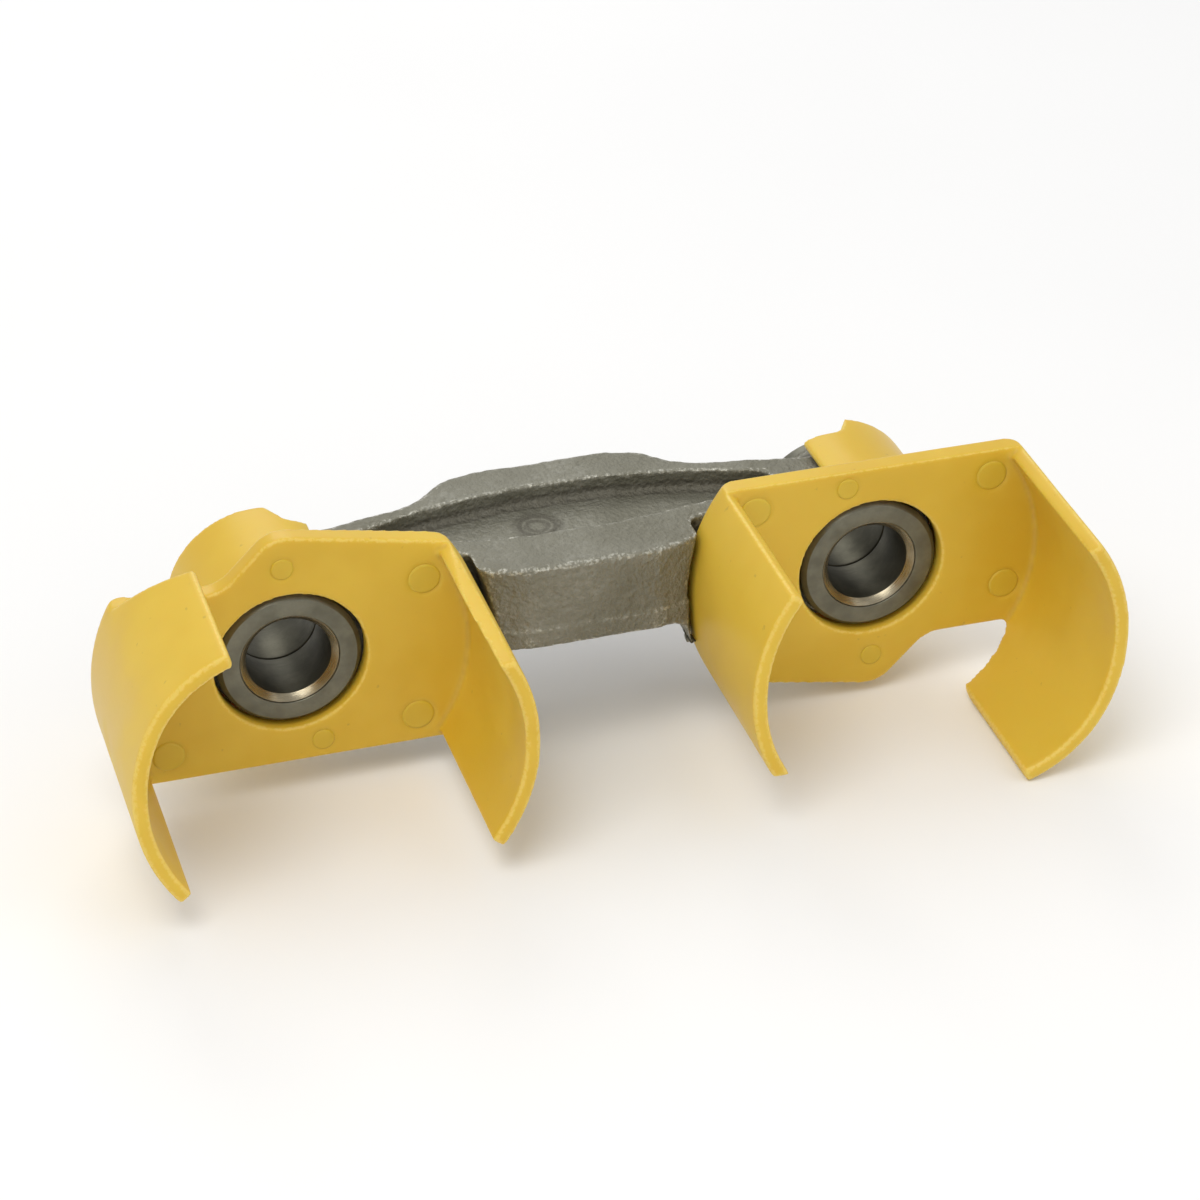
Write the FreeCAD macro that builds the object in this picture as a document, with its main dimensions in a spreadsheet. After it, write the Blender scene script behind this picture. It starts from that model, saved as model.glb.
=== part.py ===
import FreeCAD, Part
import math
import os

import Sketcher

# Forged steel connecting link with a pressed pair of bushings in each eye and
# a moulded plastic guard slid over each eye.
# X runs along the link, Y along the eye bores (the guards slide off towards -Y)
# and Z is up. The origin is the middle of the left bore.

doc = FreeCAD.newDocument("link")
dims = doc.addObject("Spreadsheet::Sheet", "dims")

SIZES = [
    # overall
    ("pitch", 117.0),             # bore centre to bore centre
    ("eye_length", 28.0),         # between the two machined faces of an eye
    ("hub_radius", 15.5),         # rough forged hub, also the height of the top
    ("ring_radius", 14.0),        # machined ring round each bore
    ("ring_proud", 3.6),          # how far it stands out of the hub
    ("ring_bevel", 0.8),
    ("draft", 4.0),               # forging draft, degrees
    ("past", 10.0),               # how far cutting outlines run past the solid
    # body between the eyes
    ("body_half_width", 21.3),
    ("body_flat_end", 13.0),
    ("corner_x", 21.0),           # bend before the shoulder
    ("corner_half_width", 19.4),
    ("shoulder_end", 28.5),
    ("shoulder_round", 6.0),
    ("neck_round", 14.0),
    ("arch_round", 4.0),
    ("shoulder_half_width", 12.2),
    ("neck_half_width", 6.6),
    ("arch_top", 2.9),            # underside of the middle, below the bores
    ("arch_half", 17.6),
    ("arch_foot", 22.6),
    ("arch_foot_drop", 14.2),
    ("foot_round", 2.0),
    ("relief_gap", 0.8),          # room left beside the guard walls
    # channel in the top of the body
    ("channel_depth", 4.6),
    ("channel_half_width", 8.2),
    ("channel_flat_end", 8.0),
    ("channel_shift", 1.8),       # towards the back of the link
    ("channel_shoulder", 25.0),
    ("channel_shoulder_half", 5.8),
    ("channel_end", 42.0),
    ("channel_end_half", 2.6),
    ("channel_round", 12.0),
    ("channel_end_round", 2.0),
    ("stamp_radius", 4.0),
    ("stamp_line", 0.9),
    ("stamp_height", 0.5),
    ("stamp_x", -4.8),
    ("stamp_y", 2.6),
    # bushings
    ("bore_radius", 8.3),
    ("bushing_wall", 1.4),
    ("bushing_bevel", 1.2),
    ("bushing_gap", 0.4),         # between the two bushings of an eye
    ("bushing_inset", 0.2),
    # guards
    ("guard_radius", 38.0),
    ("guard_wall", 3.0),
    ("plate_thick", 4.4),
    ("plate_gap", 0.3),           # between the hub and the plate
    ("guard_reach", 54.3),        # from the middle of the eye to the free edges
    ("hole_gap", 0.8),            # round the machined ring
    ("chord", 22.5),
    ("hump_side", 21.2),
    ("hump_peak", 27.9),
    ("hump_peak_x", 2.5),
    ("hump_round", 7.0),
    ("hump_side_x", 32.3),
    ("plateau", 17.7),
    ("plateau_x", 12.5),
    ("wall_fall", 4.3),
    ("tail_lead", 10.0),
    ("tail_top", 31.0),
    ("curl_radius", 26.5),
    ("curl_start", 158.0),        # degrees round from the link side
    ("curl_end", 108.0),
    ("tail_round", 5.0),
    ("fold_round", 2.5),
    ("collar_clearance", 0.5),    # round the hub
    ("collar_wall", 2.5),
    ("collar_long", 13.2),
    ("collar_short", 8.3),        # the two ends beside the link are cut back
    ("collar_gap", 0.4),          # between those ends and the link
    ("link_side", 1.0),           # the link passes on this side of the bore
    ("lower_end", 6.5),
    ("upper_step", 1.9),
    ("lower_step", -4.0),
    ("step_run", 2.8),
    ("mark_depth", 0.4),
    ("small_mark", 2.5),
    ("large_mark", 3.5),
]
for row, (alias, number) in enumerate(SIZES, start=1):
    dims.set("A%d" % row, alias)
    dims.set("B%d" % row, repr(number))
    dims.setAlias("B%d" % row, alias)
doc.recompute()


NEAR = 0.01      # mm, how close an edge is to where it is looked for
TINY = 1e-6      # mm3, less than any cut removes
OVERLAP = 1      # degree that the tail runs into the wall it continues

# sizes that follow from those in the sheet
HUB_LENGTH = "(dims.eye_length - 2 * dims.ring_proud)"
PLATE_BACK = "(%s / 2 + dims.plate_gap)" % HUB_LENGTH
PLATE_FRONT = "(%s + dims.plate_thick)" % PLATE_BACK
HOLE_RADIUS = "(dims.ring_radius + dims.hole_gap)"
COLLAR_INNER = "(dims.hub_radius + dims.collar_clearance)"
COLLAR_OUTER = "(%s + dims.collar_wall)" % COLLAR_INNER


def size(text):
    """Value of an expression written with the names in the sheet."""
    return float(dims.evalExpression(text))


def origin_plane(body, role):
    return next(f for f in body.Origin.OriginFeatures if f.Role == role)


def new_body(label):
    body = doc.addObject("PartDesign::Body", label)
    body.Label = label
    return body


def new_sketch(body, name, role, offset=None):
    """Empty sketch on an origin plane, moved along the plane's normal."""
    sketch = body.newObject("Sketcher::SketchObject", name)
    sketch.AttachmentSupport = (origin_plane(body, role), [""])
    sketch.MapMode = "FlatFace"
    if offset is not None:
        sketch.setExpression("AttachmentOffset.Base.z", offset)
    return sketch


def add_outline(sketch, corners):
    """Closed outline through corners (x, y) or (x, y, radius) in expressions.

    A corner with a radius is rounded by an arc tangent to both its sides.
    """
    points = [FreeCAD.Vector(size(c[0]), size(c[1]), 0) for c in corners]
    radii = [size(c[2]) if len(c) > 2 else 0.0 for c in corners]
    count = len(points)
    arcs = []
    for i, here in enumerate(points):
        if radii[i] == 0.0:
            arcs.append(None)
            continue
        back = (points[i - 1] - here).normalize()
        ahead = (points[(i + 1) % count] - here).normalize()
        half = back.getAngle(ahead) / 2
        reach = radii[i] / math.tan(half)
        centre = here + (back + ahead).normalize() * (radii[i] / math.sin(half))
        start = here + back * reach
        end = here + ahead * reach
        inner = centre + (here - centre).normalize() * radii[i]
        arcs.append((start, inner, end))
    pieces = []
    for i in range(count):
        after = (i + 1) % count
        if arcs[i]:
            pieces.append((sketch.addGeometry(Part.Arc(*arcs[i]), False), i))
        begin = arcs[i][2] if arcs[i] else points[i]
        finish = arcs[after][0] if arcs[after] else points[after]
        pieces.append((sketch.addGeometry(Part.LineSegment(begin, finish), False), None))
    for geo, corner in pieces:
        if corner is not None:
            index = sketch.addConstraint(Sketcher.Constraint("Radius", geo, radii[corner]))
            sketch.setExpression("Constraints[%d]" % index, corners[corner][2])
            continue
        curve = sketch.Geometry[geo]
        for spot, place in ((1, curve.StartPoint), (2, curve.EndPoint)):
            for kind, value in (("DistanceX", place.x), ("DistanceY", place.y)):
                sketch.addConstraint(Sketcher.Constraint(kind, -1, 1, geo, spot, value))


def add_circle(sketch, radius, x="0", y="0"):
    """Circle whose radius and centre are written as expressions."""
    centre = FreeCAD.Vector(size(x), size(y), 0)
    geo = sketch.addGeometry(
        Part.Circle(centre, FreeCAD.Vector(0, 0, 1), size(radius)), False)
    index = sketch.addConstraint(Sketcher.Constraint("Radius", geo, size(radius)))
    sketch.setExpression("Constraints[%d]" % index, radius)
    for kind, text, value in (("DistanceX", x, centre.x), ("DistanceY", y, centre.y)):
        index = sketch.addConstraint(Sketcher.Constraint(kind, -1, 1, geo, 3, value))
        sketch.setExpression("Constraints[%d]" % index, text)


def pad(body, name, sketch, length, midplane=False, reverse=False):
    feature = body.newObject("PartDesign::Pad", name)
    feature.Profile = sketch
    feature.setExpression("Length", length)
    feature.Midplane = midplane
    feature.Reversed = reverse
    doc.recompute()
    return feature


def pocket(body, name, sketch, length, midplane=False, reverse=False, taper="0"):
    """Cut that must remove something from the body."""
    before = body.Shape.Volume
    feature = body.newObject("PartDesign::Pocket", name)
    feature.Profile = sketch
    feature.setExpression("Length", length)
    feature.Midplane = midplane
    feature.Reversed = reverse
    feature.setExpression("TaperAngle", taper)
    doc.recompute()
    if body.Shape.Volume > before - TINY:
        raise ValueError("nothing was cut by " + name)
    return feature


def round_edges(body, name, amount, chosen, kind="PartDesign::Fillet"):
    """Fillet or chamfer every edge of the body for which chosen(edge) is true."""
    tip = body.Tip
    names = ["Edge%d" % (i + 1) for i, e in enumerate(tip.Shape.Edges) if chosen(e)]
    feature = body.newObject(kind, name)
    feature.Base = (tip, names)
    feature.setExpression("Radius" if kind.endswith("Fillet") else "Size", amount)
    doc.recompute()
    return feature


# ---------------------------------------------------------------- link forging

def long_outline(quarter):
    """Corners (x, y, radius) of the first quarter mirrored about both axes."""
    right = list(quarter) + [(x, "-(%s)" % y, r) for x, y, r in reversed(quarter)]
    left = [("-(%s)" % x, y, r) for x, y, r in reversed(right)]
    return right + left


def channel_side(x):
    """Sideways shift of the channel, left out at its two ends over the narrow necks."""
    return "0" if "channel_end" in x else "dims.channel_shift"


def make_link():
    body = new_body("link_forging")
    plan = new_sketch(body, "PlanOutline", "XY_Plane")
    add_outline(plan, long_outline([
        ("dims.body_flat_end", "dims.body_half_width", "dims.shoulder_round"),
        ("dims.corner_x", "dims.corner_half_width", "dims.shoulder_round"),
        ("dims.shoulder_end", "dims.shoulder_half_width", "dims.neck_round"),
        ("dims.pitch / 2", "dims.neck_half_width", "0")]))
    bar = pad(body, "Bar", plan, "dims.hub_radius")
    bar.SideType = "Two sides"
    bar.setExpression("Length2", "dims.hub_radius")
    bar.setExpression("TaperAngle", "-dims.draft")
    bar.setExpression("TaperAngle2", "-dims.draft")
    doc.recompute()

    # underside arched up between the eyes
    arch = new_sketch(body, "ArchOutline", "XZ_Plane")
    low = "-dims.hub_radius - dims.past"
    add_outline(arch, [
        ("-dims.arch_half", "-dims.arch_top", "dims.arch_round"),
        ("dims.arch_half", "-dims.arch_top", "dims.arch_round"),
        ("dims.arch_foot", "-dims.arch_foot_drop", "dims.foot_round"),
        ("dims.pitch / 2", "-dims.hub_radius"),
        ("dims.pitch / 2", low), ("-dims.pitch / 2", low),
        ("-dims.pitch / 2", "-dims.hub_radius"),
        ("-dims.arch_foot", "-dims.arch_foot_drop", "dims.foot_round")])
    pocket(body, "Arch", arch, "2 * (dims.body_half_width + dims.past)", midplane=True)

    # clearance beside the guard walls, on the guard side only
    relief = new_sketch(body, "GuardRelief", "XZ_Plane", HUB_LENGTH + " / 2")
    for side in ("-", ""):
        add_circle(relief, "dims.guard_radius + dims.relief_gap", side + "dims.pitch / 2")
    pocket(body, "Relief", relief, "2 * dims.body_half_width", reverse=True)

    # channel with a raised ring stamped on its floor
    channel = new_sketch(body, "ChannelOutline", "XY_Plane", "dims.hub_radius")
    groove = long_outline([
        ("dims.channel_flat_end", "dims.channel_half_width", "dims.channel_round"),
        ("dims.channel_shoulder", "dims.channel_shoulder_half", "dims.channel_round"),
        ("dims.channel_end", "dims.channel_end_half", "dims.channel_end_round")])
    add_outline(channel, [(x, y + " + " + channel_side(x), r) for x, y, r in groove])
    pocket(body, "Channel", channel, "dims.channel_depth", taper="3 * dims.draft")
    stamp = new_sketch(body, "StampOutline", "XY_Plane", "dims.hub_radius - dims.channel_depth")
    add_circle(stamp, "dims.stamp_radius", "dims.stamp_x", "dims.stamp_y")
    add_circle(stamp, "dims.stamp_radius - dims.stamp_line", "dims.stamp_x", "dims.stamp_y")
    pad(body, "StampRing", stamp, "dims.stamp_height")

    # hubs, machined rings and bores
    hubs = new_sketch(body, "HubOutline", "XZ_Plane")
    rings = new_sketch(body, "RingOutline", "XZ_Plane")
    bores = new_sketch(body, "BoreOutline", "XZ_Plane")
    for side in ("-", ""):
        centre = side + "dims.pitch / 2"
        add_circle(hubs, "dims.hub_radius", centre)
        add_circle(rings, "dims.ring_radius", centre)
        add_circle(bores, "dims.bore_radius + dims.bushing_wall", centre)
    pad(body, "Hubs", hubs, HUB_LENGTH, midplane=True)
    pad(body, "Rings", rings, "dims.eye_length", midplane=True)
    face = size("dims.eye_length / 2")
    round_edges(body, "RingBevel", "dims.ring_bevel",
                lambda e: abs(abs(e.CenterOfMass.y) - face) < NEAR, "PartDesign::Chamfer")
    pocket(body, "Bores", bores, "2 * dims.eye_length", midplane=True)
    body.setExpression("Placement.Base.x", "dims.pitch / 2")
    doc.recompute()
    return body


# -------------------------------------------------------------------- bushings

def make_bushing(label, place, front):
    """Pressed bushing filling one half of an eye, bevelled at its open end."""
    body = new_body(label)
    profile = new_sketch(body, "BushingProfile", "XY_Plane")
    open_end = "dims.eye_length / 2 - dims.bushing_inset"
    outer = "dims.bore_radius + dims.bushing_wall"
    add_outline(profile, [
        ("dims.bore_radius", "dims.bushing_gap / 2"), (outer, "dims.bushing_gap / 2"),
        (outer, open_end), ("dims.bore_radius + dims.bushing_bevel", open_end),
        ("dims.bore_radius", open_end + " - dims.bushing_bevel")])
    turned = body.newObject("PartDesign::Revolution", "BushingTurned")
    turned.Profile = profile
    turned.ReferenceAxis = (profile, ["V_Axis"])
    turned.Angle = 360
    doc.recompute()
    body.Placement.Rotation = FreeCAD.Rotation(FreeCAD.Vector(0, 0, 1), 180 if front else 0)
    body.setExpression("Placement.Base.x", place)
    doc.recompute()
    return body


# ---------------------------------------------------------------------- guards

def add_sector(sketch, centre, outer, inner, start, end):
    """Closed ring sector between two angles in degrees, counted from +x."""
    def at(radius, angle):
        turn = math.radians(angle)
        return centre + FreeCAD.Vector(math.cos(turn), math.sin(turn), 0) * radius

    middle = (start + end) / 2
    for radius in (outer, inner):
        arc = Part.Arc(at(radius, start), at(radius, middle), at(radius, end))
        sketch.addGeometry(arc, False)
    for angle in (start, end):
        sketch.addGeometry(Part.LineSegment(at(inner, angle), at(outer, angle)), False)


def add_plate(body):
    disc = new_sketch(body, "PlateDisc", "XZ_Plane", PLATE_BACK)
    add_circle(disc, "dims.guard_radius")
    pad(body, "Plate", disc, "dims.plate_thick")
    wide = "dims.guard_radius + dims.past"
    top = new_sketch(body, "PlateTopEdge", "XZ_Plane", PLATE_BACK)
    slope = "(dims.hump_peak - dims.hump_side) / (dims.hump_side_x + dims.hump_peak_x)"
    add_outline(top, [
        (wide, "dims.hump_side - (%s) * (%s - dims.hump_side_x)" % (slope, wide)),
        ("-dims.hump_peak_x", "dims.hump_peak", "dims.hump_round"),
        ("-dims.plateau_x", "dims.plateau", "dims.hump_round"),
        ("-(%s)" % wide, "dims.plateau"), ("-(%s)" % wide, wide), (wide, wide)])
    pocket(body, "PlateTop", top, "dims.plate_thick", reverse=True)
    low = new_sketch(body, "PlateChord", "XZ_Plane", PLATE_BACK)
    add_outline(low, [
        (wide, "-dims.chord"), ("-(%s)" % wide, "-dims.chord"),
        ("-(%s)" % wide, "-(%s)" % wide), (wide, "-(%s)" % wide)])
    pocket(body, "PlateBottom", low, "dims.plate_thick", reverse=True)
    hole = new_sketch(body, "PlateHole", "XZ_Plane", PLATE_BACK)
    add_circle(hole, HOLE_RADIUS)
    pocket(body, "Hole", hole, "dims.plate_thick", reverse=True)


def add_walls(body):
    """Right wall, left wall and the part of the left wall that curls inwards."""
    outer = size("dims.guard_radius")
    inner = size("dims.guard_radius - dims.guard_wall")
    foot = math.degrees(math.asin(size("dims.chord / dims.guard_radius")))
    crown = math.degrees(math.asin(size("dims.hump_side / dims.guard_radius")))
    bend = size("dims.curl_start")
    curl = size("dims.curl_radius")
    turn = math.radians(bend)
    pivot = FreeCAD.Vector(math.cos(turn), math.sin(turn), 0) * (outer - curl)
    middle = FreeCAD.Vector(0, 0, 0)
    length = "dims.guard_reach - " + PLATE_BACK
    right = new_sketch(body, "RightWallSection", "XZ_Plane", PLATE_BACK)
    add_sector(right, middle, outer, inner, -foot, crown)
    pad(body, "RightWall", right, length)
    left = new_sketch(body, "LeftWallSection", "XZ_Plane", PLATE_BACK)
    add_sector(left, middle, outer, inner, bend, 180 + foot)
    pad(body, "LeftWall", left, length)
    tail = new_sketch(body, "TailSection", "XZ_Plane", PLATE_BACK)
    thick = size("dims.guard_wall")
    add_sector(tail, pivot, curl, curl - thick, size("dims.curl_end"), bend + OVERLAP)
    pad(body, "Tail", tail, length)


def trim_walls(body):
    """Slant the top of the right wall and the link side of the tail."""
    front = "-" + PLATE_FRONT
    above = "dims.guard_radius + dims.past"
    ahead = "-dims.guard_reach - dims.past"
    fall = new_sketch(body, "WallFallLine", "YZ_Plane")
    add_outline(fall, [
        (front, "dims.hump_side"), (ahead, "dims.hump_side - dims.wall_fall"),
        (ahead, above), (front, above)])
    pocket(body, "WallFall", fall, above, reverse=True)
    lead = new_sketch(body, "TailLeadLine", "YZ_Plane", "-dims.plateau_x - dims.hump_round / 2")
    foot = "dims.plateau + dims.mark_depth"
    add_outline(lead, [
        (front, foot),
        (front + " - dims.tail_lead", "dims.tail_top", "dims.tail_round"),
        (front + " - dims.tail_lead - dims.past", above), ("0", above), ("0", foot)])
    pocket(body, "TailLead", lead, "dims.guard_radius")


def add_collar(body):
    """Open collar round the hub, cut away where the link leaves the eye."""
    section = new_sketch(body, "CollarSection", "XZ_Plane", PLATE_BACK)
    add_circle(section, COLLAR_OUTER)
    add_circle(section, COLLAR_INNER)
    pad(body, "Collar", section, PLATE_BACK + " + dims.collar_long", reverse=True)
    reach = COLLAR_OUTER + " + dims.past"
    link_top = "dims.hub_radius + dims.collar_gap"
    gap = new_sketch(body, "CollarOpening", "XZ_Plane", PLATE_BACK)
    add_outline(gap, [
        ("dims.link_side", link_top), ("dims.link_side", "-(%s)" % link_top),
        ("dims.lower_end", "-(%s)" % link_top), ("dims.lower_end", "-(%s)" % reach),
        (reach, "-(%s)" % reach), (reach, link_top)])
    pocket(body, "LinkOpening", gap, PLATE_BACK + " + dims.collar_long + dims.past")
    for name, start, up in (("UpperStep", "dims.upper_step", True),
                            ("LowerStep", "dims.lower_step", False)):
        step = new_sketch(body, name + "Line", "XY_Plane")
        add_outline(step, [
            (start, "dims.collar_long + dims.past"), (start, "dims.collar_long"),
            (start + " + dims.step_run", "dims.collar_short", "dims.foot_round"),
            (reach, "dims.collar_short"), (reach, "dims.collar_long + dims.past")])
        pocket(body, name, step, reach, reverse=up)


def round_fold(body):
    """Round the outside of the fold between the plate and the walls."""
    fold = -size(PLATE_BACK)
    outer = size("dims.guard_radius")

    def on_fold(edge):
        curve = edge.Curve
        if curve.TypeId != "Part::GeomCircle" or abs(curve.Radius - outer) > NEAR:
            return False
        return abs(edge.CenterOfMass.y - fold) < NEAR

    round_edges(body, "FoldRound", "dims.fold_round", on_fold)


MARKS = [
    # x, z and radius of the ejector pin marks on the front of a plate
    ("5.5", "-dims.chord + 3.8", "dims.small_mark"),
    ("-0.8", "dims.plateau + 3", "dims.small_mark"),
    ("24.4", "-dims.chord + 5.8", "dims.large_mark"),
    ("-24.6", "-dims.chord + 5.8", "dims.large_mark"),
    ("26.4", "dims.hump_side - 7.4", "dims.large_mark"),
    ("-28.6", "dims.plateau - 8.8", "dims.large_mark"),
]


def add_marks(body):
    marks = new_sketch(body, "EjectorMarks", "XZ_Plane", PLATE_FRONT)
    for x, z, radius in MARKS:
        add_circle(marks, radius, x, z)
    pocket(body, "Marks", marks, "dims.mark_depth")


def make_guard(label, place, half_turn):
    body = new_body(label)
    add_plate(body)
    add_walls(body)
    trim_walls(body)
    add_collar(body)
    round_fold(body)
    add_marks(body)
    if half_turn:
        body.Placement.Rotation = FreeCAD.Rotation(FreeCAD.Vector(0, 1, 0), 180)
    body.setExpression("Placement.Base.x", place)
    doc.recompute()
    return body


# ----------------------------------------------------------------------- parts

parts = [
    make_link(),
    make_bushing("left_front_bushing", "0", True),
    make_bushing("left_rear_bushing", "0", False),
    make_bushing("right_front_bushing", "dims.pitch", True),
    make_bushing("right_rear_bushing", "dims.pitch", False),
    make_guard("left_guard", "0", False),
    make_guard("right_guard", "dims.pitch", True),
]

for item in doc.Objects:
    if "Invalid" in item.State or "Error" in item.State:
        raise ValueError("%s is %s" % (item.Name, item.State))
os.makedirs("parts", exist_ok=True)
for body in parts:
    if body.Shape.isNull() or not body.Shape.isValid() or len(body.Shape.Solids) != 1:
        raise ValueError("%s has no sound shape" % body.Label)
    body.Shape.exportStep("parts/%s.step" % body.Label)
    print(body.Label, len(body.Shape.Faces), "faces", round(body.Shape.Volume), "mm3", body.Shape.BoundBox)
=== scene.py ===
import math

import bpy
import numpy as np
from mathutils import Matrix, Vector


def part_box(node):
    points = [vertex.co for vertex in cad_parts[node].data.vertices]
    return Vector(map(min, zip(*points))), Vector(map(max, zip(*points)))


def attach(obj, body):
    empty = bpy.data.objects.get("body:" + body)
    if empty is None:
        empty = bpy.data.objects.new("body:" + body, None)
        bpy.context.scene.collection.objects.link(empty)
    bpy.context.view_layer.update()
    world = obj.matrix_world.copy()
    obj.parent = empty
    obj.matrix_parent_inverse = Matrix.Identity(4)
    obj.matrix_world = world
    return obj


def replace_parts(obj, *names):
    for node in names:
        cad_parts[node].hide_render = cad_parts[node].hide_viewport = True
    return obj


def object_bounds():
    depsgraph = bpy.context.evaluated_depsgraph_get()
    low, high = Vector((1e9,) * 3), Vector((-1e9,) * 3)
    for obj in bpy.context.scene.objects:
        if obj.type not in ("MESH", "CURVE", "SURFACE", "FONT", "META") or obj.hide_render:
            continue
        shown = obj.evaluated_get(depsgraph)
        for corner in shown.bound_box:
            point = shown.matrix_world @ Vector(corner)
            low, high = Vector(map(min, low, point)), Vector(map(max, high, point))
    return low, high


# Looks of a forged connecting link with bushed eyes and a moulded guard on each eye.
# Metres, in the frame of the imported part: X along the link, Y along the bores, Z up,
# origin in the middle of the left bore.

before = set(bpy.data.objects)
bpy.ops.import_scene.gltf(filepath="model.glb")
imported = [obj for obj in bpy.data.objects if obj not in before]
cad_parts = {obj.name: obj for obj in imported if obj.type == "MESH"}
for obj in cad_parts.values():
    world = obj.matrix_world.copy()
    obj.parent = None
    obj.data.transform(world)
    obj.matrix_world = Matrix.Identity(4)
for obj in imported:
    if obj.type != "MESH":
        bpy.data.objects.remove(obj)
cad_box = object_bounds()

MM = 0.001
BUSH_LOW, BUSH_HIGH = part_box("left_rear_bushing")
PITCH = (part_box("right_rear_bushing")[0] - BUSH_LOW).x
EYE_HALF = BUSH_HIGH.y + 0.2 * MM      # machined faces of an eye, from its middle
BORE_OUTER = BUSH_HIGH.x               # outside of the bushings
BORE = BORE_OUTER - 1.4 * MM           # less the wall of a bushing
RING = BORE_OUTER + 4.3 * MM           # machined ring round each bore
HUB_HALF = EYE_HALF - 3.6 * MM         # raw hub behind the machined ring
PLATE_FRONT = HUB_HALF + 4.7 * MM      # front of a guard's plate, from the eye's middle
EYES = {"left": 0.0, "right": PITCH}
HUB_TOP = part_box("link_forging")[1].z
LEDGE = 2.0 * MM                       # height of the parting ledge on the link's sides
STAMP_X = PITCH / 2 - 4.8 * MM         # raised ring mark on the channel's floor
STAMP_Y = 2.6 * MM
FOOT_Y = -13.5 * MM                    # the feet of the front flange lie in front of this
FOOT_Z = -9.0 * MM                     # height at which they are blunted
RING_MARGIN = 1.5 * MM                 # beyond this a point is clear of a machined ring


# ------------------------------------------------------------------ numpy helpers

def value_noise(points, cell, seed):
    """Smooth noise in 0..1: random values on a cubic lattice of the given cell,
    blended with the weights 3 t^2 - 2 t^3 along each axis."""
    rng = np.random.default_rng(seed)
    table = rng.random(4096)
    p = points / cell
    base = np.floor(p).astype(np.int64)
    t = p - base
    w = t * t * (3 - 2 * t)
    total = np.zeros(len(points))
    for corner in range(8):
        step = np.array([corner & 1, corner >> 1 & 1, corner >> 2 & 1])
        where = base + step
        key = (where[:, 0] * 73856093) ^ (where[:, 1] * 19349663) ^ (where[:, 2] * 83492791)
        share = np.prod(np.where(step == 1, w, 1 - w), axis=1)
        total += share * table[key & 4095]
    return total


def layered_noise(points, cell, seed):
    """Three octaves of value_noise, each half the size and half the strength."""
    total = np.zeros(len(points))
    for octave in range(3):
        total += value_noise(points, cell / 2 ** octave, seed + octave) / 2 ** octave
    return total / 1.75


def bump_shape(x):
    """Smooth hill: (1 - x^2)^2 inside -1..1 and 0 outside."""
    return np.clip(1 - x * x, 0, None) ** 2


def object_of(name, vertices, faces, smooth=True):
    mesh = bpy.data.meshes.new(name)
    mesh.from_pydata(vertices, [], faces)
    mesh.update()
    made = bpy.data.objects.new(name, mesh)
    bpy.context.scene.collection.objects.link(made)
    if smooth:
        mesh.shade_smooth()
    return made


def rounded(corners, radius, steps=4):
    """Closed profile through corners (r, y), each cut by a small arc.

    An arc point is a quadratic Bezier a (1-t)^2 + 2 c t (1-t) + b t^2, where c is
    the corner and a, b lie one radius before and after it."""
    corners = np.array(corners)
    before = np.roll(corners, 1, axis=0) - corners
    after = np.roll(corners, -1, axis=0) - corners
    a = corners + before / np.linalg.norm(before, axis=1)[:, None] * radius
    b = corners + after / np.linalg.norm(after, axis=1)[:, None] * radius
    t = np.linspace(0, 1, steps)[None, :, None]
    path = (a[:, None] * (1 - t) ** 2 + 2 * corners[:, None] * t * (1 - t)
            + b[:, None] * t ** 2)
    return path.reshape(-1, 2)


def revolve(name, profile, centre_x, around=160):
    """Closed surface of revolution about the bore axis at centre_x: a profile point
    (r, y) goes to (centre_x + r cos a, y, r sin a). UV is (turn, length along profile)."""
    count = len(profile)
    angle = np.arange(around) * 2 * np.pi / around
    r, y = profile[:, 0], profile[:, 1]
    grid = np.stack([
        centre_x + np.outer(np.cos(angle), r),
        np.broadcast_to(y, (around, count)),
        np.outer(np.sin(angle), r)], axis=2).reshape(-1, 3)
    i, j = np.meshgrid(np.arange(around), np.arange(count), indexing="ij")
    i2, j2 = (i + 1) % around, (j + 1) % count
    faces = np.stack([i * count + j, i * count + j2, i2 * count + j2, i2 * count + j], axis=2)
    area = np.sum(r * np.roll(y, -1) - y * np.roll(r, -1))
    faces = faces.reshape(-1, 4)
    if area > 0:
        faces = faces[:, ::-1]
    made = object_of(name, grid.tolist(), faces.tolist())
    length = np.concatenate([[0], np.cumsum(np.linalg.norm(np.diff(profile, axis=0), axis=1))])
    uv = made.data.uv_layers.new(name="turned")
    corner = faces.reshape(-1)
    turn = (corner // count) / around
    along = length[corner % count] / MM
    uv.data.foreach_set("uv", np.stack([turn, along], axis=1).astype(np.float32).reshape(-1))
    return made


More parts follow.
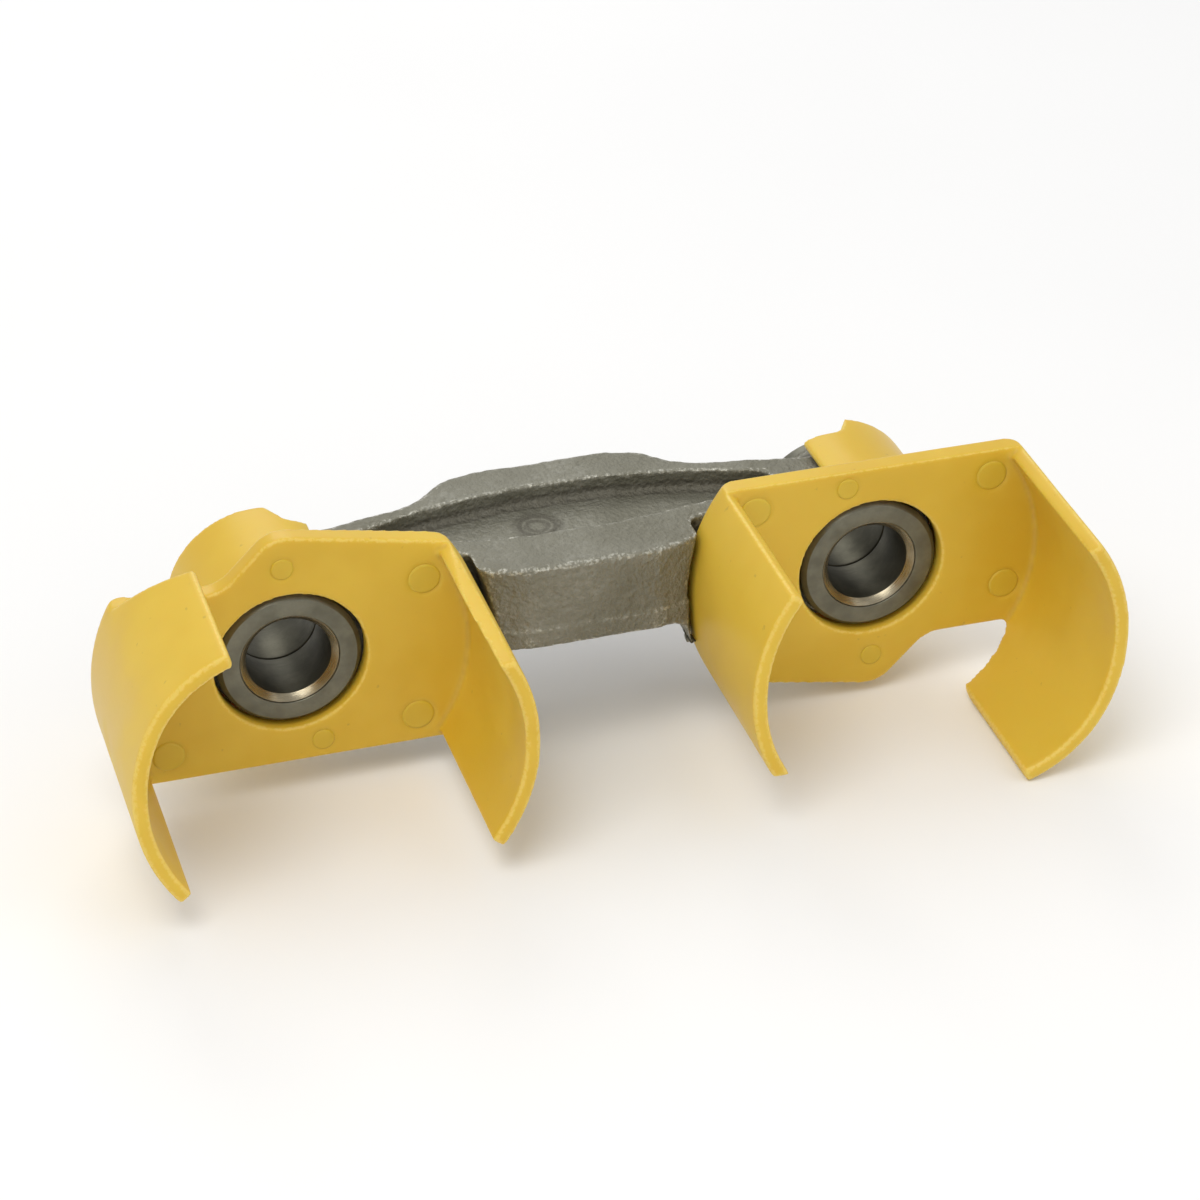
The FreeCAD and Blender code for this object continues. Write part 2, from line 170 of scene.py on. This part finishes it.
def remeshed_copy(node, name, voxel, smoothing):
    """Copy of a CAD node as an even skin whose edges are softened all over."""
    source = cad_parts[node]
    work = bpy.data.objects.new(name + "_work", source.data.copy())
    bpy.context.scene.collection.objects.link(work)
    weld = work.modifiers.new("weld", "WELD")
    weld.merge_threshold = 0.001 * MM
    remesh = work.modifiers.new("remesh", "REMESH")
    remesh.mode = "VOXEL"
    remesh.voxel_size = voxel
    raw = bpy.data.meshes.new_from_object(
        work.evaluated_get(bpy.context.evaluated_depsgraph_get()))
    sharp = read_points(raw)
    smooth = work.modifiers.new("smooth", "SMOOTH")
    smooth.factor = 0.5
    smooth.iterations = smoothing
    bpy.context.view_layer.update()
    mesh = bpy.data.meshes.new_from_object(
        work.evaluated_get(bpy.context.evaluated_depsgraph_get()))
    mesh.name = name
    mesh.materials.clear()
    bpy.data.objects.remove(work)
    made = bpy.data.objects.new(name, mesh)
    bpy.context.scene.collection.objects.link(made)
    mesh.shade_smooth()
    # how far smoothing moved a point inwards tells outer edges from inner corners
    moved = sharp - read_points(mesh)
    edge = np.einsum("ij,ij->i", moved, read_normals(mesh))
    store(mesh, "edge", np.clip(edge / (0.35 * voxel), -1, 1))
    return made


def read_points(mesh):
    flat = np.zeros(len(mesh.vertices) * 3, np.float32)
    mesh.vertices.foreach_get("co", flat)
    return flat.reshape(-1, 3).astype(float)


def read_normals(mesh):
    flat = np.zeros(len(mesh.vertices) * 3, np.float32)
    mesh.vertex_normals.foreach_get("vector", flat)
    return flat.reshape(-1, 3).astype(float)


def write_points(mesh, points):
    mesh.vertices.foreach_set("co", points.astype(np.float32).reshape(-1))
    mesh.update()


def store(mesh, name, values):
    """Keep one number for each vertex under a name that the materials read."""
    attribute = mesh.attributes.new(name, "FLOAT", "POINT")
    attribute.data.foreach_set("value", values.astype(np.float32))


# ---------------------------------------------------------------------- materials

def node_group(name, inputs, outputs):
    """Empty shader node group with its input and output nodes."""
    group = bpy.data.node_groups.new(name, "ShaderNodeTree")
    for label, kind, default in inputs:
        socket = group.interface.new_socket(label, in_out="INPUT", socket_type=kind)
        if default is not None:
            socket.default_value = default
    for label, kind in outputs:
        group.interface.new_socket(label, in_out="OUTPUT", socket_type=kind)
    entry = group.nodes.new("NodeGroupInput")
    leave = group.nodes.new("NodeGroupOutput")
    return group, entry, leave


def noise_node(tree, source, scale, detail=6.0, rough=0.6):
    noise = tree.nodes.new("ShaderNodeTexNoise")
    tree.links.new(source, noise.inputs["Vector"])
    if isinstance(scale, (int, float)):
        noise.inputs["Scale"].default_value = scale
    else:
        tree.links.new(scale, noise.inputs["Scale"])
    noise.inputs["Detail"].default_value = detail
    noise.inputs["Roughness"].default_value = rough
    return noise.outputs["Fac"]


def spread(tree, value, low, high, to_low=0.0, to_high=1.0):
    """Value mapped smoothly from low..high to to_low..to_high."""
    node = tree.nodes.new("ShaderNodeMapRange")
    node.interpolation_type = "SMOOTHSTEP"
    tree.links.new(value, node.inputs["Value"])
    for label, number in (("From Min", low), ("From Max", high),
                          ("To Min", to_low), ("To Max", to_high)):
        node.inputs[label].default_value = number
    return node.outputs["Result"]


def math_node(tree, operation, a, b=None):
    node = tree.nodes.new("ShaderNodeMath")
    node.operation = operation
    for slot, value in ((0, a), (1, b)):
        if value is None:
            continue
        if isinstance(value, (int, float)):
            node.inputs[slot].default_value = value
        else:
            tree.links.new(value, node.inputs[slot])
    return node.outputs["Value"]


def mix_color(tree, factor, a, b, blend="MIX"):
    node = tree.nodes.new("ShaderNodeMix")
    node.data_type = "RGBA"
    node.blend_type = blend
    for label, value in ((0, factor), (6, a), (7, b)):
        if isinstance(value, (int, float)):
            node.inputs[label].default_value = value
        elif isinstance(value, tuple):
            node.inputs[label].default_value = (*value, 1.0)
        else:
            tree.links.new(value, node.inputs[label])
    return node.outputs[2]


def grain_group():
    """Large patches, fine grain and sparse specks from three sizes of noise."""
    group, entry, leave = node_group(
        "grain",
        [("Vector", "NodeSocketVector", None), ("Patch Scale", "NodeSocketFloat", 60.0),
         ("Grain Scale", "NodeSocketFloat", 1500.0)],
        [("Patches", "NodeSocketFloat"), ("Grain", "NodeSocketFloat"),
         ("Specks", "NodeSocketFloat")])
    vector = entry.outputs["Vector"]
    patches = noise_node(group, vector, entry.outputs["Patch Scale"], 3.0)
    grain = noise_node(group, vector, entry.outputs["Grain Scale"], 4.0)
    specks = noise_node(group, vector, 520.0, 2.0, 0.5)
    group.links.new(spread(group, patches, 0.35, 0.65), leave.inputs["Patches"])
    group.links.new(spread(group, grain, 0.3, 0.7), leave.inputs["Grain"])
    group.links.new(spread(group, specks, 0.72, 0.78), leave.inputs["Specks"])
    return group


def edge_light_and_wear_group():
    """Mask of outer edges, used for wear and for a painted highlight, and mask of inner corners,
    used for painted shade, from the stored edge value.
    """
    group, entry, leave = node_group(
        "edge_wear_and_light",
        [("Edge", "NodeSocketFloat", 0.0), ("Grain", "NodeSocketFloat", 0.5)],
        [("Highlight And Wear", "NodeSocketFloat"), ("Corner Shade", "NodeSocketFloat")])
    rough_edge = math_node(group, "MULTIPLY", entry.outputs["Edge"],
                           math_node(group, "ADD", entry.outputs["Grain"], 0.45))
    group.links.new(spread(group, rough_edge, 0.18, 0.75), leave.inputs["Highlight And Wear"])
    group.links.new(spread(group, entry.outputs["Edge"], -0.1, -0.8), leave.inputs["Corner Shade"])
    return group


GRAIN = grain_group()
EDGE_LIGHT_AND_WEAR = edge_light_and_wear_group()


def new_material(name):
    """Material with its node tree and its main shader."""
    material = bpy.data.materials.new(name)
    material.use_nodes = True
    tree = material.node_tree
    shader = next(n for n in tree.nodes if n.type == "BSDF_PRINCIPLED")
    return material, tree, shader


def use_grain(tree, patch_scale, grain_scale):
    place = tree.nodes.new("ShaderNodeTexCoord")
    node = tree.nodes.new("ShaderNodeGroup")
    node.node_tree = GRAIN
    tree.links.new(place.outputs["Object"], node.inputs["Vector"])
    node.inputs["Patch Scale"].default_value = patch_scale
    node.inputs["Grain Scale"].default_value = grain_scale
    return place.outputs["Object"], node


def use_edge_light_and_wear(tree, grain):
    edge = tree.nodes.new("ShaderNodeAttribute")
    edge.attribute_name = "edge"
    node = tree.nodes.new("ShaderNodeGroup")
    node.node_tree = EDGE_LIGHT_AND_WEAR
    tree.links.new(edge.outputs["Fac"], node.inputs["Edge"])
    tree.links.new(grain, node.inputs["Grain"])
    return node


def bump_node(tree, height, strength, distance):
    node = tree.nodes.new("ShaderNodeBump")
    node.inputs["Strength"].default_value = strength
    node.inputs["Distance"].default_value = distance
    tree.links.new(height, node.inputs["Height"])
    return node.outputs["Normal"]


def forged_material():
    """Grey-brown shot-blasted scale, pitted, with smoother worn edges that carry painted glints,
    and painted shade in inner corners.
    """
    material, tree, shader = new_material("forged_steel")
    place, grain = use_grain(tree, 55.0, 900.0)
    edge_light_and_wear = use_edge_light_and_wear(tree, grain.outputs["Grain"])
    color = mix_color(tree, grain.outputs["Patches"], (0.185, 0.178, 0.135), (0.29, 0.283, 0.235))
    color = mix_color(tree, grain.outputs["Grain"], color, (0.225, 0.217, 0.17))
    # painted shade: inner corners darkened towards near-black
    color = mix_color(tree, math_node(tree, "MULTIPLY", edge_light_and_wear.outputs["Corner Shade"], 0.6),
                      color, (0.07, 0.062, 0.045))
    # painted highlight: pale glints on the outer edges; the lower roughness there is real wear
    glints = spread(tree, noise_node(tree, place, 1300.0, 2.0), 0.44, 0.66)
    sparkle = math_node(tree, "MULTIPLY", edge_light_and_wear.outputs["Highlight And Wear"], glints)
    color = mix_color(tree, sparkle, color, (0.46, 0.45, 0.385))
    tree.links.new(color, shader.inputs["Base Color"])
    pits = tree.nodes.new("ShaderNodeTexVoronoi")
    pits.inputs["Scale"].default_value = 1100.0
    tree.links.new(place, pits.inputs["Vector"])
    height = math_node(tree, "ADD", pits.outputs["Distance"], grain.outputs["Grain"])
    tree.links.new(bump_node(tree, height, 0.55, 0.25 * MM), shader.inputs["Normal"])
    rough = spread(tree, sparkle, 0.0, 1.0, 0.58, 0.36)
    tree.links.new(rough, shader.inputs["Roughness"])
    shader.inputs["Metallic"].default_value = 0.65
    return material


def turned_material(name, dark, light, rough_low, rough_high, metal):
    """Turned steel: fine rings that follow the cut, on the piece's own UV."""
    material, tree, shader = new_material(name)
    _, grain = use_grain(tree, 140.0, 1800.0)
    uv = tree.nodes.new("ShaderNodeUVMap")
    uv.uv_map = "turned"
    stretch = tree.nodes.new("ShaderNodeMapping")
    stretch.inputs["Scale"].default_value = (6.0, 9.0, 1.0)
    tree.links.new(uv.outputs["UV"], stretch.inputs["Vector"])
    rings = noise_node(tree, stretch.outputs["Vector"], 1.0, 3.0)
    color = mix_color(tree, grain.outputs["Patches"], dark, light)
    streaks = math_node(tree, "MULTIPLY", grain.outputs["Grain"], 0.25)
    color = mix_color(tree, streaks, color, dark)
    tree.links.new(color, shader.inputs["Base Color"])
    tree.links.new(spread(tree, rings, 0.3, 0.7, rough_low, rough_high),
                   shader.inputs["Roughness"])
    tree.links.new(bump_node(tree, rings, 0.35, 0.05 * MM), shader.inputs["Normal"])
    shader.inputs["Metallic"].default_value = metal
    return material


def plastic_material():
    """Satin yellow moulding: soft clouding, fine texture, edges made pale as a painted highlight,
    painted shade in the corners.
    """
    material, tree, shader = new_material("guard_plastic")
    _, grain = use_grain(tree, 32.0, 1300.0)
    edge_light_and_wear = use_edge_light_and_wear(tree, grain.outputs["Grain"])
    color = mix_color(tree, grain.outputs["Patches"], (0.67, 0.435, 0.034), (0.72, 0.49, 0.052))
    # painted highlight: outer edges made pale
    color = mix_color(tree, math_node(tree, "MULTIPLY", edge_light_and_wear.outputs["Highlight And Wear"], 0.45),
                      color, (0.84, 0.65, 0.19))
    # painted shade: inner corners made a deeper orange
    color = mix_color(tree, math_node(tree, "MULTIPLY", edge_light_and_wear.outputs["Corner Shade"], 0.35),
                      color, (0.50, 0.29, 0.04))
    color = mix_color(tree, math_node(tree, "MULTIPLY", grain.outputs["Specks"], 0.25),
                      color, (0.25, 0.16, 0.05))
    tree.links.new(color, shader.inputs["Base Color"])
    tree.links.new(spread(tree, grain.outputs["Patches"], 0.0, 1.0, 0.36, 0.48),
                   shader.inputs["Roughness"])
    tree.links.new(bump_node(tree, grain.outputs["Grain"], 0.12, 0.05 * MM),
                   shader.inputs["Normal"])
    shader.inputs["Subsurface Weight"].default_value = 0.25
    shader.inputs["Subsurface Radius"].default_value = (1.0, 0.5, 0.12)
    shader.inputs["Subsurface Scale"].default_value = 3.0 * MM
    shader.inputs["Specular IOR Level"].default_value = 0.35
    return material


FORGED = forged_material()
MACHINED = turned_material(
    "machined_steel", (0.125, 0.122, 0.092), (0.185, 0.18, 0.138), 0.28, 0.44, 0.75)
BUSHING = turned_material(
    "bushing_steel", (0.07, 0.066, 0.045), (0.115, 0.108, 0.076), 0.38, 0.55, 0.85)
BEVEL = turned_material(
    "bevel_steel", (0.24, 0.205, 0.135), (0.36, 0.32, 0.23), 0.2, 0.36, 0.85)
PLASTIC = plastic_material()


# ------------------------------------------------------------------------- pieces

def make_forging():
    """Forged skin of the link. The machined rings are pressed flat here, since they
    are separate turned pieces, and the sides stand out below the parting ledge."""
    skin = remeshed_copy("link_forging", "link_forging_skin", 0.55 * MM, 36)
    points = read_points(skin.data)
    normals = read_normals(skin.data)
    x, y, z = points.T
    eye_gap = np.minimum(np.hypot(x, z), np.hypot(x - PITCH, z))
    ring = (eye_gap < RING + 0.7 * MM) & (np.abs(y) > HUB_HALF - 0.3 * MM)
    raw = np.where((eye_gap > RING + RING_MARGIN) | ~ring, 1.0, 0.0)
    scale = layered_noise(points, 7 * MM, 11)
    pits = value_noise(points, 1.3 * MM, 23)
    side_face = np.clip(1.4 - 2 * np.abs(normals[:, 2]), 0, 1)
    ledge = np.clip(0.5 - (z - LEDGE) / (0.7 * MM), 0, 1) * side_face
    ledge_line = bump_shape((z - LEDGE) / (0.9 * MM)) * side_face
    stamp = np.hypot(x - STAMP_X, y - STAMP_Y)
    mark = bump_shape((stamp - 3.6 * MM) / (1.4 * MM)) * (z > HUB_TOP / 2)
    inward = 0.5 * MM + 0.5 * MM * (scale - 0.5) + 0.2 * MM * (pits - 0.5)
    inward = np.clip(inward, 0.02 * MM, None) * (1 - 0.85 * ledge)
    points = points - normals * (inward * raw)[:, None]
    points[ring, 1] = np.sign(points[ring, 1]) * (HUB_HALF - 0.05 * MM)
    # the thin feet in front, between the arch and the room for the guards, end blunt
    foot = (y < FOOT_Y) & (z < FOOT_Z) & (eye_gap > RING + RING_MARGIN)
    points[foot, 2] = FOOT_Z + 0.1 * (points[foot, 2] - FOOT_Z)
    write_points(skin.data, points)
    edge = skin.data.attributes["edge"]
    edge_light_and_wear = np.zeros(len(points), np.float32)
    edge.data.foreach_get("value", edge_light_and_wear)
    # the edge value paints a highlight (with a smoother finish) along the parting ledge line and
    # paints shade over the stamp's ring
    edge_light_and_wear = edge_light_and_wear * (1 - mark) + 0.45 * ledge_line - 0.9 * mark
    edge.data.foreach_set("value", np.clip(edge_light_and_wear, -1, 1).astype(np.float32))
    skin.data.materials.append(FORGED)
    return skin


def make_ring_sleeve(side):
    """Machined ring of one eye: both faces, the bevels outside and the bore wall."""
    bevel = 0.9 * MM
    inner = BORE_OUTER + 0.01 * MM
    lip = 0.1 * MM
    profile = [
        (inner, -EYE_HALF + lip), (inner + lip, -EYE_HALF), (RING - bevel, -EYE_HALF),
        (RING, -EYE_HALF + bevel), (RING, EYE_HALF - bevel), (RING - bevel, EYE_HALF),
        (inner + lip, EYE_HALF), (inner, EYE_HALF - lip)]
    piece = revolve(side + "_eye_ring", rounded(profile, 0.04 * MM), EYES[side])
    piece.data.materials.append(MACHINED)
    return piece


def make_bushing(side, end):
    """Pressed bushing: plain wall, with a wide bright bevel at its open end."""
    node = "%s_%s_bushing" % (side, end)
    low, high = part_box(node)
    bevel = 1.2 * MM
    edge = 0.12 * MM
    profile = np.array([
        (BORE, low.y + edge), (BORE + edge, low.y), (BORE_OUTER - edge, low.y),
        (BORE_OUTER, low.y + edge), (BORE_OUTER, high.y - edge), (BORE_OUTER - edge, high.y),
        (BORE + bevel, high.y), (BORE, high.y - bevel)])
    if end == "front":
        profile[:, 1] = low.y + high.y - profile[:, 1]
        profile = profile[::-1]
    piece = revolve(node + "_turned", rounded(profile, 0.04 * MM, 3), EYES[side])
    piece.data.materials.append(BUSHING)
    piece.data.materials.append(BEVEL)
    centres = np.zeros(len(piece.data.polygons) * 3, np.float32)
    piece.data.polygons.foreach_get("center", centres)
    x, y, z = centres.reshape(-1, 3).T
    open_end = np.abs(y) > EYE_HALF - 1.5 * bevel
    on_bevel = open_end & (np.hypot(x - EYES[side], z) > BORE + 0.02 * MM)
    piece.data.polygons.foreach_set("material_index", on_bevel.astype(np.int32))
    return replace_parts(piece, node)


def make_guard(side):
    """Moulded guard with softened edges and folds and slightly sunk flat areas."""
    node = side + "_guard"
    skin = remeshed_copy(node, node + "_moulding", 0.5 * MM, 9)
    points = read_points(skin.data)
    normals = read_normals(skin.data)
    sink = 0.12 * MM * layered_noise(points, 16 * MM, 5)
    points = points - normals * sink[:, None]
    write_points(skin.data, points)
    skin.data.materials.append(PLASTIC)
    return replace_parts(skin, node)


MARKS = [
    # x and z from the bore and radius, in mm, on the left guard
    (5.5, -18.7, 2.5), (-0.8, 20.7, 2.5), (24.4, -16.7, 3.5),
    (-24.6, -16.7, 3.5), (26.4, 13.8, 3.5), (-28.6, 8.9, 3.5),
]


def make_marks(side):
    """Ejector pin marks: shallow discs in the sunk rounds of the plate. A disc point
    is (x + r cos a, y(r), z + r sin a), with y(r) a flat dome that drops at the rim."""
    turn = 1 if side == "left" else -1
    around, rings = 64, 10
    angle = np.arange(around) * 2 * np.pi / around
    share = np.linspace(0, 1, rings + 1)[1:]
    drop = 0.5 * MM * np.clip((share - 0.86) / 0.14, 0, 1) ** 2 - 0.06 * MM * (1 - share ** 2)
    vertices, faces = [], []
    for x, z, radius in MARKS:
        centre = np.array([EYES[side] + turn * x * MM, -PLATE_FRONT + 0.1 * MM, turn * z * MM])
        first = len(vertices)
        r = share * (radius - 0.12) * MM
        grid = np.stack([
            np.outer(np.cos(angle), r), np.broadcast_to(drop, (around, rings)),
            np.outer(np.sin(angle), r)], axis=2) + centre
        vertices.append((centre + [0, drop[0] - 0.005 * MM, 0]).tolist())
        vertices += grid.reshape(-1, 3).tolist()
        i, j = np.meshgrid(np.arange(around), np.arange(rings - 1), indexing="ij")
        i2 = (i + 1) % around
        start = first + 1
        quads = np.stack([start + i * rings + j, start + i * rings + j + 1,
                          start + i2 * rings + j + 1, start + i2 * rings + j], axis=2)
        faces += quads.reshape(-1, 4).tolist()
        k = np.arange(around)
        faces += np.stack([np.full(around, first), start + k * rings,
                           start + (k + 1) % around * rings], axis=1).tolist()
        faces.append((start + k[::-1] * rings + rings - 1).tolist())
    piece = object_of(side + "_guard_pin_marks", vertices, faces)
    store(piece.data, "edge", np.zeros(len(piece.data.vertices)))
    piece.data.materials.append(PLASTIC)
    return piece


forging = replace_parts(make_forging(), "link_forging")
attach(forging, "link")
for side in EYES:
    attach(make_ring_sleeve(side), "link")
    for end in ("front", "rear"):
        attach(make_bushing(side, end), "link")
    guard_body = side + "_guard_body"
    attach(make_guard(side), guard_body)
    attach(make_marks(side), guard_body)


# ------------------------------------------------------------ stage, light, camera

def make_floor(level):
    material, tree, shader = new_material("floor")
    place = tree.nodes.new("ShaderNodeTexCoord")
    patches = noise_node(tree, place.outputs["Object"], 6.0, 2.0)
    color = mix_color(tree, patches, (0.90, 0.90, 0.90), (0.94, 0.94, 0.94))
    tree.links.new(color, shader.inputs["Base Color"])
    shader.inputs["Roughness"].default_value = 0.85
    half = 3.0
    floor = object_of("floor", [(-half, -half, level), (half, -half, level),
                                (half, half, level), (-half, half, level)], [(0, 1, 2, 3)])
    floor.data.materials.append(material)


def make_light(name, place, aim, width, power, tint=(1.0, 1.0, 1.0)):
    data = bpy.data.lights.new(name, "AREA")
    data.shape = "RECTANGLE"
    data.size = width
    data.size_y = width
    data.energy = power
    data.color = tint
    light = bpy.data.objects.new(name, data)
    light.location = place
    light.rotation_euler = (Vector(aim) - Vector(place)).to_track_quat("-Z", "Y").to_euler()
    bpy.context.scene.collection.objects.link(light)


def make_camera():
    """Camera in front of the guards' open side, to the left of it and above."""
    azimuth, elevation, roll = (math.radians(a) for a in (-16.93, 32.02, -0.11))
    back = Vector((math.sin(azimuth) * math.cos(elevation),
                   -math.cos(azimuth) * math.cos(elevation), math.sin(elevation)))
    right = Vector((math.cos(azimuth), math.sin(azimuth), 0))
    up = back.cross(right)
    turned = Matrix((right, up, back)).transposed() @ Matrix.Rotation(roll, 3, "Z")
    aim = Vector((PITCH / 2 + 7.4 * MM, 0.8 * MM, -7.6 * MM))
    data = bpy.data.cameras.new("camera")
    data.sensor_width = 36.0
    data.lens = 111.0
    data.clip_start = 0.01
    camera = bpy.data.objects.new("camera", data)
    camera.matrix_world = Matrix.Translation(aim + back * 0.7336) @ turned.to_4x4()
    bpy.context.scene.collection.objects.link(camera)
    bpy.context.scene.camera = camera


world = bpy.data.worlds.new("studio")
world.use_nodes = True
world.node_tree.nodes["Background"].inputs["Color"].default_value = (1.0, 1.0, 1.0, 1.0)
world.node_tree.nodes["Background"].inputs["Strength"].default_value = 0.62
bpy.context.scene.world = world
bpy.context.scene.view_settings.view_transform = "Standard"

middle = (PITCH / 2, 0.0, 0.0)
make_floor(cad_box[0].z)
make_light("key", (-0.25, -0.35, 0.8), middle, 0.5, 3.5, (1.0, 0.985, 0.95))
make_light("fill", (0.7, -0.5, 0.4), middle, 0.6, 1.0)
make_light("back", (0.1, 0.7, 0.6), middle, 0.5, 1.9)
make_camera()
